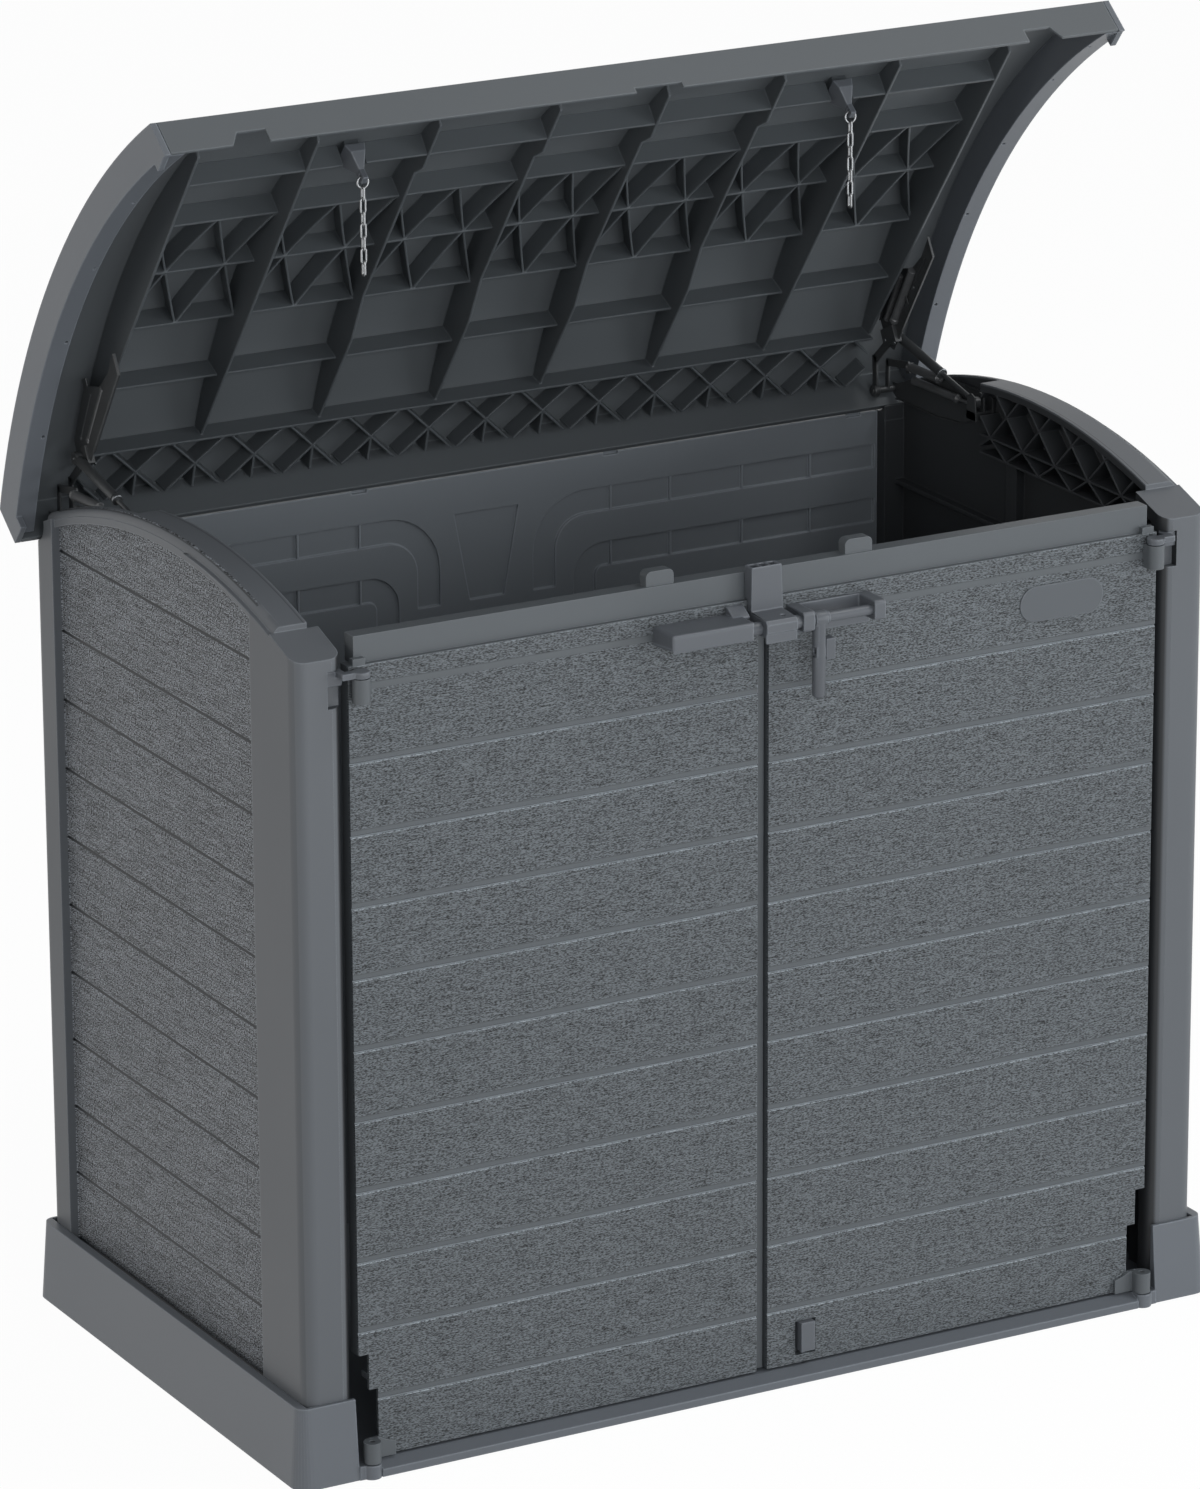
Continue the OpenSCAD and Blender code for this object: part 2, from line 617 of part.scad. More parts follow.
module back_lattice() intersection() {
    ring_zone(rib_d - 3, 17.7, 22.1);
    flat_at(20) union() {
        h = lid_in * sin(2.3);
        for (k = [-7:7]) {
            x = k * fin_pitch / 2;
            bar2([x - 45, -h], [x + 45, h], rib_t);
            bar2([x + 45, -h], [x - 45, h], rib_t);
            bar2([x, 0], [x, h], rib_t);
        }
    }
}
module lid_ribs() color(c_in) lid_pose() difference() {
    union() {
        main_ribs();
        cross_ribs();
        lattice();
        back_lattice();
    }
    // room for the chain catches and cups
    for (s = [-1, 1]) side(s) box(cup_x - 17, cup_x + 17, cup_y - 21, cup_y + 21, cup_z - 60, cup_z + 60);
}
// End skirts, each a channel under the skin's end
module lid_end() {
    w = 5;
    r0 = lid_r - lid_skirt;
    x0 = half + 3.5;
    yz(end_seam + 0.4, lid_half) intersection() {
        union() {
            difference() {
                disc(lid_r);
                disc(r0);
            }
            translate([lip_f, lip_z]) square([34, rail_top + 300 - lip_z]);
            translate([lip_b - 34, back_lip_z]) square([34, rail_top + 300 - back_lip_z]);
        }
        disc(lid_r);
        translate([lip_f, back_lip_z]) square([lip_b - lip_f, 400]);
    }
    yz(x0, end_seam + 0.5) intersection() {
        difference() {
            disc(r0 + w);
            disc(r0);
        }
        translate([lip_f + 4.5, back_lip_z + 4]) square([lip_b - lip_f - 13, 400]);
    }
    yz(x0, x0 + w) intersection() {
        difference() {
            disc(lid_in);
            disc(r0);
        }
        translate([lip_f + 4.5, back_lip_z + 4]) square([lip_b - lip_f - 13, 400]);
    }
}
module end_holes() {
    for (a = [-19.9, -13.5, -3.9, 4.8, 14.5]) translate([half + 9.5, lid_y, lid_z]) rotate([-a, 0, 0])
        translate([0, 0, lid_r - 60]) cylinder(h = 18, r = 2.5);
}
module lid_end_left() color(c_body) lid_pose() side(-1) difference() {
    lid_end();
    end_holes();
}
module lid_end_right() color(c_body) lid_pose() side(1) difference() {
    lid_end();
    end_holes();
}

// Chain catches under the skin, and the cups that plug on them
cup_y = lid_y - 239;
cup_z = rail_top + 51;
eye_r = 3.2;
module catches() color(c_in) lid_pose() for (s = [-1, 1]) side(s) yz(cup_x - 11, cup_x + 11) intersection() {
    disc(lid_in);
    translate([cup_y - 13, cup_z - 5]) square([26, 60]);
}
module cup() {
    difference() {
        union() {
            xz(cup_y - 17.5, cup_y + 17.5) polygon([[cup_x - 15, cup_z], [cup_x + 15, cup_z],
                [cup_x + 4, cup_z - 34], [cup_x + 4, cup_z - 50], [cup_x - 4, cup_z - 50],
                [cup_x - 4, cup_z - 34]]);
        }
        yz(cup_x - 20, cup_x + 20) {
            polygon([[cup_y - 18, cup_z - 12], [cup_y - 6, cup_z - 34], [cup_y - 6, cup_z - 60],
                [cup_y - 18, cup_z - 60]]);
            polygon([[cup_y + 18, cup_z - 12], [cup_y + 6, cup_z - 34], [cup_y + 6, cup_z - 60],
                [cup_y + 18, cup_z - 60]]);
        }
        box(cup_x - 11.3, cup_x + 11.3, cup_y - 13.3, cup_y + 13.3, cup_z - 6, cup_z + 1);
        box(cup_x - 7, cup_x + 7, cup_y - 11, cup_y + 11, cup_z - 16, cup_z + 1);
        rod_x(cup_x - 20, cup_x + 20, cup_y, cup_z - 42, eye_r);
    }
}
module cups() color(c_body) lid_pose() for (s = [-1, 1]) side(s) cup();

// Chain: a round ring in the cup's eye, then long links, each free of the next
eye = swing([cup_y, cup_z - 42]);
ring_r = 8;
loop_r = 3.4;
link_len = 13.3;
slack = loop_r - 2 * wire_r - 0.1;
ring_z = -eye_r + 0.15 - sqrt(pow(ring_r - wire_r, 2) - 16);
module round_link(r) {
    rotate_extrude($fn = 32) translate([r, 0]) circle(wire_r, $fn = 16);
}
module long_link() {
    for (s = [-1, 1]) {
        translate([s * loop_r, 0, -link_len]) cylinder(h = link_len, r = wire_r, $fn = 16);
        translate([0, 0, s > 0 ? 0 : -link_len]) rotate([90, 0, 0]) intersection() {
            round_link(loop_r);
            translate([-20, s > 0 ? 0 : -20, -5]) cube([40, 20, 10]);
        }
    }
}
module chain() {
    translate([cup_x, eye[0], eye[1] + ring_z]) {
        rotate([90, 0, 0]) round_link(ring_r);
        for (i = [0:links - 1]) translate([0, 0, -ring_r - slack - i * (link_len + loop_r + slack)])
            rotate([0, 0, i % 2 == 0 ? 90 : 0]) long_link();
    }
}
module chain_left() color(c_wire) side(-1) chain();
module chain_right() color(c_wire) side(1) chain();

// Hinge gear. Lid bracket with its leg, flanges and spring housing
br = [[hinge_y - 142, hinge_z + 259], [hinge_y - 157, hinge_z + 233], [hinge_y - 74, hinge_z + 106],
    [hinge_y - 52, hinge_z + 72], [hinge_y - 32, hinge_z + 76], [hinge_y - 14, hinge_z + 108],
    [hinge_y - 51, hinge_z + 193], [hinge_y - 62, hinge_z + 193]];
module lid_bracket() {
    x = bracket_x;
    difference() {
        union() {
            yz(x - 1.5, x + 1.5) {
                polygon(br);
                bar2(br[4] + [-8, 4], [hinge_y + 4, hinge_z + 40], 17);
                bar2([hinge_y + 4, hinge_z + 44], [hinge_y, hinge_z], 17);
                translate([hinge_y, hinge_z]) circle(knob_r);
                bar2(br[6] + [-6, -4], swing(arc_p(15.6, lid_in - 3)), 24);
            }
            yz(x - 6.5, x + 6.5) {
                bar2(br[0], br[1], 2);
                bar2(br[1], br[2], 2);
                bar2(br[5], br[6], 2);
                bar2(swing(arc_p(15.0, lid_in - 4)), swing(arc_p(17.0, lid_in - 4)), 5);
            }
            // spring housing and its eye
            spring(x, [hinge_y - 106, hinge_z + 203], [hinge_y - 52, hinge_z + 111], 6.5);
            rod_x(x - 1, strut_x + tube_r + 1, U[0], U[1], 3);
        }
        rod_x(x - 9, x + 9, hinge_y, hinge_z, hinge_r + run);
        lid_pose() yz(x - 9, x + 9) difference() {
            translate([lid_y - 50, lid_z + 900]) square([500, 250]);
            disc(lid_in);
        }
    }
}
// A closed cylinder lying in a plane X = const, from p to q
module spring(x, p, q, r) {
    a = atan2(q[1] - p[1], q[0] - p[0]);
    translate([x, p[0], p[1]]) rotate([a, 0, 0]) rotate([-90, 0, 0]) cylinder(h = norm(q - p), r = r);
}
module lid_bracket_left() color(c_steel) side(-1) lid_bracket();
module lid_bracket_right() color(c_steel) side(1) lid_bracket();

// Wall bracket with its own spring housing, arm and hinge pin
module wall_bracket() {
    yz(plate_x - 1, gear_pocket[1]) polygon([[hinge_y + 4, hinge_z + 8], [hinge_y + 4, hinge_z - 7],
        [hinge_y - 8, hinge_z - 15], [hinge_y - 70, hinge_z - 8], [hinge_y - 270, hinge_z + 18],
        [hinge_y - 277, hinge_z + 24], [hinge_y - 270, hinge_z + 52], [hinge_y - 126, hinge_z + 56],
        [hinge_y - 58, hinge_z + 42], [hinge_y - 10, hinge_z + 22]]);
    yz(coil_x - 4, plate_x) {
        bar2([hinge_y - 126, hinge_z + 58], [hinge_y - 60, hinge_z + 44], 7);
        bar2([hinge_y - 60, hinge_z + 44], [hinge_y - 12, hinge_z + 24], 7);
        bar2([hinge_y - 270, hinge_z + 19], [hinge_y - 90, hinge_z - 4], 3);
    }
    spring(coil_x, [hinge_y - 107, hinge_z + 31], [hinge_y - 227, hinge_z + 45], 6);
    box(coil_x, plate_x, hinge_y - 225, hinge_y - 110, hinge_z + 31, hinge_z + 41);
    // fork for the rod's end
    for (x = [strut_x - 8.5, strut_x + 6]) yz(x, x + 2.5) polygon([[W[0] - 13, W[1] - 12], [W[0] + 13, W[1] - 12],
        [W[0] + 10, W[1] + 10], [W[0] - 10, W[1] + 10]]);
    box(strut_x - 8.5, plate_x, W[0] - 13, W[0] + 13, W[1] - 26, W[1] - 11);
    rod_x(bracket_x - 5, plate_x + 1, hinge_y, hinge_z, hinge_r);
}
module wall_bracket_left() color(c_steel) side(-1) wall_bracket();
module wall_bracket_right() color(c_steel) side(1) wall_bracket();

module along_strut() {
    translate([strut_x, U[0], U[1]]) rotate([strut_a, 0, 0]) rotate([-90, 0, 0]) children();
}
module strut_tube() difference() {
    union() {
        along_strut() {
            translate([0, 0, 8]) cylinder(h = tube_len - 8, r = tube_r);
            translate([0, 0, tube_len - 1]) cylinder(h = 8, r = tube_r - 1);
        }
        rod_x(strut_x - 5, strut_x + 5, U[0], U[1], 9);
    }
    rod_x(strut_x - 20, strut_x + 20, U[0], U[1], 3 + run);
    along_strut() translate([0, 0, 14]) cylinder(h = tube_len, r = rod_r + run);
}
module strut_tube_left() color(c_steel) side(-1) strut_tube();
module strut_tube_right() color(c_steel) side(1) strut_tube();
module strut_rod() {
    along_strut() translate([0, 0, 90]) cylinder(h = strut_len - 96, r = rod_r);
    rod_x(strut_x - 4, strut_x + 4, W[0], W[1], 8);
}
module strut_rod_left() color(c_steel) side(-1) strut_rod();
module strut_rod_right() color(c_steel) side(1) strut_rod();

base_tray();
wall_left();
wall_right();
back_wall();
door_left();
door_right();
hinge_arm_left();
hinge_arm_right();
lower_pins();
box_handle();
bolt_bracket();
bolt_bar();
tee_handle();
tee_clip();
hasp();
foot_bolt();
badge();
lid_skin();
lid_ribs();
lid_end_left();
lid_end_right();
catches();
cups();
chain_left();
chain_right();
lid_bracket_left();
lid_bracket_right();
wall_bracket_left();
wall_bracket_right();
strut_tube_left();
strut_tube_right();
strut_rod_left();
strut_rod_right();
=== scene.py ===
# Arc-lid garden storage shed. Metres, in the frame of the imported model: +X right, +Y back, +Z up.
import json
import math
import bpy
import bmesh
from mathutils import Matrix, Vector


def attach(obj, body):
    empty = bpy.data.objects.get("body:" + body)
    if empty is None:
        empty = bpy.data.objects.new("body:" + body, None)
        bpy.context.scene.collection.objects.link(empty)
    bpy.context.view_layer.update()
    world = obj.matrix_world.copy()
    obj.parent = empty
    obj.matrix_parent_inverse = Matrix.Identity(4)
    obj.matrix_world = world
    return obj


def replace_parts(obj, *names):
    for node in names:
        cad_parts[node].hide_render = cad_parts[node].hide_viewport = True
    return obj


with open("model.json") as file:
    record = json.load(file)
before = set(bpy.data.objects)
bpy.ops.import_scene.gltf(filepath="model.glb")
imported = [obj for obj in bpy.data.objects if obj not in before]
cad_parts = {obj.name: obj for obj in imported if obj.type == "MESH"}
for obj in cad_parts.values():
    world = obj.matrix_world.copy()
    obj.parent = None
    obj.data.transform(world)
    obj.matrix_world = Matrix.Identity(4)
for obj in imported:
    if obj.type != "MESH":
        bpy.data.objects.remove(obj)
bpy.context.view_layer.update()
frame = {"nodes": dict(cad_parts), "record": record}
nodes = frame["nodes"]
scene = bpy.context.scene
scene.view_settings.view_transform = "Standard"

# Camera, fitted to the photo: angles in degrees, focal length in pixels of its width
CAMERA_PLACE = (-4.8272, -8.6305, 4.0064)
CAMERA_YAW, CAMERA_PITCH, CAMERA_ROLL = -29.049, 17.925, -0.264
FOCAL_PIXELS, PHOTO_WIDTH, SENSOR_WIDTH = 7583.47, 1200, 36

# Light of the world at the horizon and overhead, and the height of a direction that counts as overhead
HORIZON, OVERHEAD, OVERHEAD_FROM = 0.56, 0.24, 0.9

# Area lights: name, place, target, size, power and colour
LIGHTS = [
    ("key", (-1.6, -6.8, 2.6), (0, 0, 0.8), (4, 3), 128, (0.98, 0.985, 1.0)),
    ("right", (5.5, -4.5, 1.8), (0, 0, 0.7), (3, 3), 145, (0.95, 0.98, 1.0)),
    ("low", (1.6, -6.2, 0.5), (0, 0.3, 1.6), (3, 0.9), 50, (0.97, 0.985, 1.0)),
    ("softbox", (2.6, -1.8, 5.4), (0, 0, 0.7), (1.2, 1.2), 45, (1.0, 1.0, 1.0)),
    ("left", (-6.5, 0.2, 1.8), (0, 0, 0.6), (3, 3), 72, (1.0, 0.93, 0.85)),
]

# Floor: half its width, its place just under the base, and its grey as matt ground. Where it is seen,
# the share of it that is plain white, and the strength of that white
FLOOR_REACH, FLOOR_Z, FLOOR_GREY, FLOOR_SEEN, FLOOR_WHITE = 14, -0.0005, 0.66, 0.90, 1.06


# Shader helpers
def nodes_of(mat):
    mat.use_nodes = True
    mat.node_tree.nodes.clear()
    return mat.node_tree


def link(t, a, b):
    t.links.new(a, b)


def add(t, kind, **values):
    """A new node; each value goes to the input of that name, or else to the node itself."""
    n = t.nodes.new(kind)
    for k, v in values.items():
        key = k.replace("_", " ")
        if key in n.inputs:
            n.inputs[key].default_value = v
        else:
            setattr(n, k, v)
    return n


def fill(t, sockets, values):
    """Give each socket its value, which is a number or another socket."""
    for socket, v in zip(sockets, values):
        if isinstance(v, (int, float)):
            socket.default_value = v
        else:
            link(t, v, socket)


def calc(t, kind, *values):
    """A math node; each value is a number or a socket."""
    n = add(t, "ShaderNodeMath", operation=kind)
    fill(t, n.inputs, values)
    return n.outputs[0]


def product(t, first, *others):
    for v in others:
        first = calc(t, "MULTIPLY", first, v)
    return first


def blend(t, amount, a, b):
    """Mix of two numbers or sockets."""
    n = add(t, "ShaderNodeMix")
    fill(t, (n.inputs[0], n.inputs[2], n.inputs[3]), (amount, a, b))
    return n.outputs[0]


def ramp(t, value, low, high, to=(0.0, 1.0)):
    """to[0] up to low, to[1] from high on, and straight between."""
    n = add(t, "ShaderNodeMapRange", From_Min=low, From_Max=high, To_Min=to[0], To_Max=to[1])
    link(t, value, n.inputs["Value"])
    return n.outputs[0]


def step(t, value, low, high, soft=0.0004):
    """1 where value lies between low and high, else 0, with soft edges."""
    above = ramp(t, value, low - soft, low + soft)
    below = ramp(t, value, high - soft, high + soft, (1.0, 0.0))
    return product(t, above, below)


def parts_of(t, vector):
    n = add(t, "ShaderNodeSeparateXYZ")
    link(t, vector, n.inputs[0])
    return tuple(n.outputs[i] for i in range(3))


def coords(t, scale=(1, 1, 1)):
    n = add(t, "ShaderNodeMapping", Scale=scale)
    link(t, add(t, "ShaderNodeTexCoord").outputs["Object"], n.inputs["Vector"])
    return n.outputs[0]


def noise(t, scale, detail=3.0, rough=0.6, low=0.3, high=0.7, to=(0.0, 1.0)):
    """Noise with its own scale along X, Y and Z, spread from low...high to the range of to."""
    n = add(t, "ShaderNodeTexNoise", Scale=1.0, Detail=detail, Roughness=rough)
    link(t, coords(t, scale), n.inputs["Vector"])
    return ramp(t, n.outputs["Fac"], low, high, to)


def shown_rays(t):
    """1 for the rays that show the plain background: camera, glossy and transmission rays."""
    path = add(t, "ShaderNodeLightPath")
    value = path.outputs["Is Camera Ray"]
    for kind in ("Is Glossy Ray", "Is Transmission Ray"):
        value = calc(t, "MAXIMUM", value, path.outputs[kind])
    return value


def mix_shaders(t, amount, first, second, out):
    n = add(t, "ShaderNodeMixShader")
    link(t, amount, n.inputs[0])
    link(t, first.outputs[0], n.inputs[1])
    link(t, second.outputs[0], n.inputs[2])
    link(t, n.outputs[0], out.inputs["Surface"])


# Camera, world, lights and floor
def make_camera():
    yaw, pitch, roll = (math.radians(a) for a in (CAMERA_YAW, CAMERA_PITCH, CAMERA_ROLL))
    back = Vector((math.sin(yaw) * math.cos(pitch), -math.cos(yaw) * math.cos(pitch), math.sin(pitch)))
    level_right = Vector((math.cos(yaw), math.sin(yaw), 0))
    level_up = back.cross(level_right)
    right = math.cos(roll) * level_right + math.sin(roll) * level_up
    up = -math.sin(roll) * level_right + math.cos(roll) * level_up
    cam = bpy.data.objects.new("camera", bpy.data.cameras.new("camera"))
    scene.collection.objects.link(cam)
    turned = Matrix((right, up, back)).transposed().to_4x4()
    turned.translation = CAMERA_PLACE
    cam.matrix_world = turned
    cam.data.sensor_fit = "HORIZONTAL"
    cam.data.sensor_width = SENSOR_WIDTH
    cam.data.lens = FOCAL_PIXELS * SENSOR_WIDTH / PHOTO_WIDTH
    cam.data.clip_start = 0.1
    cam.data.clip_end = 200
    scene.camera = cam


def make_world():
    """White where it is seen; as a light it is softer overhead than at the horizon."""
    scene.world = bpy.data.worlds.new("world")
    t = nodes_of(scene.world)
    height = parts_of(t, add(t, "ShaderNodeTexCoord").outputs["Generated"])[2]
    light = add(t, "ShaderNodeBackground", Color=(0.95, 0.97, 1.0, 1))
    link(t, ramp(t, height, 0.0, OVERHEAD_FROM, (HORIZON, OVERHEAD)), light.inputs["Strength"])
    seen = add(t, "ShaderNodeBackground", Color=(1, 1, 1, 1), Strength=1.0)
    mix_shaders(t, shown_rays(t), light, seen, add(t, "ShaderNodeOutputWorld"))


def area_light(name, place, target, size, power, colour):
    lamp = bpy.data.lights.new(name, "AREA")
    lamp.shape = "RECTANGLE"
    lamp.size, lamp.size_y = size
    lamp.energy = power
    lamp.color = colour
    ob = bpy.data.objects.new(name, lamp)
    ob.location = place
    ob.rotation_euler = (Vector(target) - Vector(place)).to_track_quat("-Z", "Y").to_euler()
    scene.collection.objects.link(ob)


def make_floor():
    """Seen nearly white; the rest of it is a plain matt floor that keeps the shed's shadow."""
    mat = bpy.data.materials.new("floor")
    t = nodes_of(mat)
    matt = add(t, "ShaderNodeBsdfDiffuse", Color=(FLOOR_GREY, FLOOR_GREY, FLOOR_GREY, 1))
    white = add(t, "ShaderNodeEmission", Strength=FLOOR_WHITE)
    seen = product(t, shown_rays(t), FLOOR_SEEN)
    mix_shaders(t, seen, matt, white, add(t, "ShaderNodeOutputMaterial"))
    bm = bmesh.new()
    bmesh.ops.create_grid(bm, x_segments=8, y_segments=8, size=FLOOR_REACH)
    me = bpy.data.meshes.new("floor")
    bm.to_mesh(me)
    bm.free()
    me.materials.append(mat)
    floor = bpy.data.objects.new("floor", me)
    scene.collection.objects.link(floor)
    floor.location.z = FLOOR_Z


# Zones of the moulded pieces, in metres. Doors: their front in Y, then heights on it
DOOR_FRONT = (-0.390, -0.380)
GRAIN_TOP = 1.1185
RAIL_LEDGE = (1.1166, 1.1188)
PLANK, FIRST_LINE, LINE_STRIP = 0.0984, 0.98596, 0.0095
STRIP_EDGE = (LINE_STRIP - 0.0012, LINE_STRIP + 0.0004)

# Back wall: its outside in Y
BACK_OUTSIDE = (0.3930, 0.50)

# Side walls: places in Y
PANEL = (-0.2640, 0.3370)
POST_FRONT = (-0.400, -0.3860)
POST_NOTCH = (-0.3965, -0.3185)
BEHIND_POST = (-0.3185, 0.50)

# Side walls: distances from the middle in X
PANEL_FACE = (0.6792, 0.6825)
PANEL_LINES = (0.6750, 0.6835)
INNER_SIDE = (0.0, 0.6725)
POST_RIM = (0.6283, 0.6295)
CREST_RIM = (0.6440, 0.6453)
POST_FLANK = (0.690, 0.8)

# Side walls: middle of the round top's arc in Y and Z, the radius of its crest, and the band under it
ARC_Y, ARC_Z, CREST, CREST_BAND = -0.00425, 0.186, 1.028, 0.003

# Tone of a zone against the plastic around it: the gains are painted highlights, the shades are painted shade
EDGE_HIGHLIGHT, CHAMFER_HIGHLIGHT, LEDGE_HIGHLIGHT, STRIP_SHADE = 1.7, 2.1, 1.35, 0.80
RIM_SHADE, LINE_SHADE, NOTCH_SHADE, FLANK_SHADE, INNER_SHADE = 0.35, 0.35, 0.22, 0.80, 0.32

# Wood grain: its darkest and lightest tone and its depth, then the share of dashes and the streaks' tone
GRAIN = {"door": (0.04, 1.72, 0.00035), "back": (0.04, 1.72, 0.00035), "wall": (-1.25, 3.05, 0.0005)}
DASH_SHARE, STREAK_SHADE = 0.30, 0.90

# Noise along X, Y and Z, in cells per metre: the grain's dashes, specks and streaks, clouds and fine skin
DASH, SPECK, STREAK = (26, 26, 1000), (260, 260, 950), (7, 7, 420)
CLOUD, FINE = (2.2, 2.2, 2.2), (700, 700, 700)

# Plain skin: depth of its fine texture, its specular level, and how far tone and roughness wander
SKIN_DEPTH, SPECULAR, TONE_DRIFT, ROUGH_DRIFT = 0.0006, 0.35, 0.03, 0.04

# Painted highlight along edges: on an edge the dot product of the rounded normal and the true one is under
# EDGE_TURN, give or take EDGE_SOFT
EDGE_TURN, EDGE_SOFT = 0.983, 0.012


def new_material(name):
    mat = bpy.data.materials.new(name)
    t = nodes_of(mat)
    bsdf = add(t, "ShaderNodeBsdfPrincipled")
    link(t, bsdf.outputs[0], add(t, "ShaderNodeOutputMaterial").inputs["Surface"])
    return mat, t, bsdf


def shaded(t, tone, *zones):
    """The tone, times each zone's gain where its mask is 1."""
    for mask, gain in zones:
        tone = product(t, tone, blend(t, mask, 1.0, gain))
    return tone


def outside_of(t, mask):
    return calc(t, "SUBTRACT", 1.0, mask)


def door_zones(t, place, normal, tone):
    """Grain on the front below the rail, with a smooth strip over each plank line; painted shade along each
    strip's upper edge, and painted highlights on the chamfers and on the rail's ledge.
    """
    z = place[2]
    front = step(t, place[1], *DOOR_FRONT)
    below_rail = product(t, front, step(t, z, 0.0, GRAIN_TOP))
    over_line = calc(t, "FLOORED_MODULO", calc(t, "SUBTRACT", z, FIRST_LINE), PLANK)
    # Painted shade: a faint darker line along the upper edge of each smooth strip
    strip_edge_shade = product(t, below_rail, step(t, over_line, *STRIP_EDGE, 0.0003))
    # Painted highlights on the upward chamfers of the plank lines and on the rail's ledge
    chamfer = product(t, step(t, normal[2], 0.6, 0.8, 0.05), front)
    ledge = product(t, step(t, z, *RAIL_LEDGE, 0.0003), front)
    grain = product(t, below_rail, outside_of(t, step(t, over_line, -0.01, LINE_STRIP)))
    return grain, shaded(t, tone, (strip_edge_shade, STRIP_SHADE), (chamfer, CHAMFER_HIGHLIGHT), (ledge, LEDGE_HIGHLIGHT))


def back_zones(t, place, normal, tone):
    """Grain on the outside only."""
    return step(t, place[1], *BACK_OUTSIDE), tone


def wall_zones(t, place, normal, tone):
    """Grain on the sunk panel; painted shade on the plank lines, rims, notch, post flanks and inner side."""
    x, y, z = place
    wide = calc(t, "ABSOLUTE", x)
    panel = step(t, y, *PANEL)
    from_arc = [calc(t, "POWER", calc(t, "SUBTRACT", v, c), 2.0) for v, c in ((y, ARC_Y), (z, ARC_Z))]
    reach = calc(t, "SQRT", calc(t, "ADD", *from_arc))
    below_crest = step(t, reach, 0.0, CREST - CREST_BAND)
    # Painted shade on the inner side, where the lid and the walls keep the light off
    inner = product(t, step(t, wide, *INNER_SIDE, 0.0005), step(t, y, *BEHIND_POST), below_crest)
    # Painted shadow lines along the rims of the post's front and of the crest
    post_rim = product(t, step(t, wide, *POST_RIM, 0.0003), step(t, y, *POST_FRONT))
    on_crest = product(t, step(t, reach, CREST - CREST_BAND, 1.1), step(t, y, *BEHIND_POST))
    crest_rim = product(t, step(t, wide, *CREST_RIM, 0.0003), on_crest)
    # Painted shade on the sloped faces of the plank lines
    slope = step(t, calc(t, "ABSOLUTE", normal[2]), 0.5, 0.9, 0.05)
    line = product(t, slope, step(t, wide, *PANEL_LINES), panel)
    # Painted shade on the faces that turn inwards in the post's notch
    faces_in = step(t, calc(t, "MULTIPLY", calc(t, "SIGN", x), normal[0]), -1.3, -0.5, 0.1)
    notch = product(t, faces_in, step(t, y, *POST_NOTCH))
    # Painted shade on the post's flanks
    sideways = step(t, calc(t, "ABSOLUTE", normal[0]), 0.8, 1.2)
    flank = product(t, sideways, step(t, wide, *POST_FLANK), outside_of(t, panel))
    grain = product(t, step(t, wide, *PANEL_FACE), panel, outside_of(t, line))
    return grain, shaded(t, tone, (calc(t, "MAXIMUM", post_rim, crest_rim), RIM_SHADE), (line, LINE_SHADE),
                         (notch, NOTCH_SHADE), (flank, FLANK_SHADE), (inner, INNER_SHADE))


ZONES = {"door": door_zones, "back": back_zones, "wall": wall_zones}


def wood_grain(t):
    """Dashes, specks and long faint streaks along the planks: 0 is deep and dark, 1 high and light."""
    dash = noise(t, DASH, detail=1.0, rough=0.5, low=0.40, high=0.54)
    speck = noise(t, SPECK, detail=1.0, rough=0.6, low=0.40, high=0.58)
    streak = noise(t, STREAK, detail=2.0, rough=0.5, low=0.26, high=0.42)
    both = calc(t, "ADD", product(t, dash, DASH_SHARE), product(t, speck, 1 - DASH_SHARE))
    return product(t, both, blend(t, streak, STREAK_SHADE, 1.0))


def plastic(name, colour, rough, kind=None, edge=0.0030):
    """Moulded plastic with rounded edges and a painted highlight along them; kind adds the wood grain of that
    piece and, for doors and walls, its zones of painted highlights and shade.
    """
    mat, t, bsdf = new_material(name)
    bsdf.inputs["Specular IOR Level"].default_value = SPECULAR
    cloud = noise(t, CLOUD)
    tone = blend(t, cloud, 1 - TONE_DRIFT, 1 + TONE_DRIFT)
    gloss = blend(t, cloud, rough - ROUGH_DRIFT, rough + ROUGH_DRIFT)
    height, depth = noise(t, FINE, detail=2.0, to=(0.0, 0.04)), SKIN_DEPTH

    round_edge = add(t, "ShaderNodeBevel", samples=4, Radius=edge)
    true_normal = add(t, "ShaderNodeNewGeometry").outputs["Normal"]
    turned = add(t, "ShaderNodeVectorMath", operation="DOT_PRODUCT")
    link(t, round_edge.outputs[0], turned.inputs[0])
    link(t, true_normal, turned.inputs[1])
    # Painted highlight: a lighter tone along every edge, where the rounded normal turns away from the true
    # one
    tone = shaded(t, tone, (step(t, turned.outputs["Value"], -2.0, EDGE_TURN, EDGE_SOFT), EDGE_HIGHLIGHT))

    if kind:
        at, tone = ZONES[kind](t, parts_of(t, coords(t)), parts_of(t, true_normal), tone)
        grain = wood_grain(t)
        dark, light, depth = GRAIN[kind]
        tone = product(t, tone, blend(t, at, 1.0, blend(t, grain, dark, light)))
        height = blend(t, at, height, grain)
        gloss = blend(t, at, gloss, blend(t, grain, rough + 0.2, rough + 0.04))

    grey = add(t, "ShaderNodeCombineColor")
    fill(t, grey.inputs, (tone, tone, tone))
    base = add(t, "ShaderNodeMix", data_type="RGBA", blend_type="MULTIPLY")
    base.inputs[0].default_value = 1.0
    base.inputs[6].default_value = (*colour, 1)
    link(t, grey.outputs[0], base.inputs[7])
    bump = add(t, "ShaderNodeBump", Strength=1.0, Distance=depth)
    link(t, height, bump.inputs["Height"])
    link(t, round_edge.outputs[0], bump.inputs["Normal"])
    link(t, bump.outputs[0], bsdf.inputs["Normal"])
    link(t, gloss, bsdf.inputs["Roughness"])
    link(t, base.outputs[2], bsdf.inputs["Base Color"])
    return mat


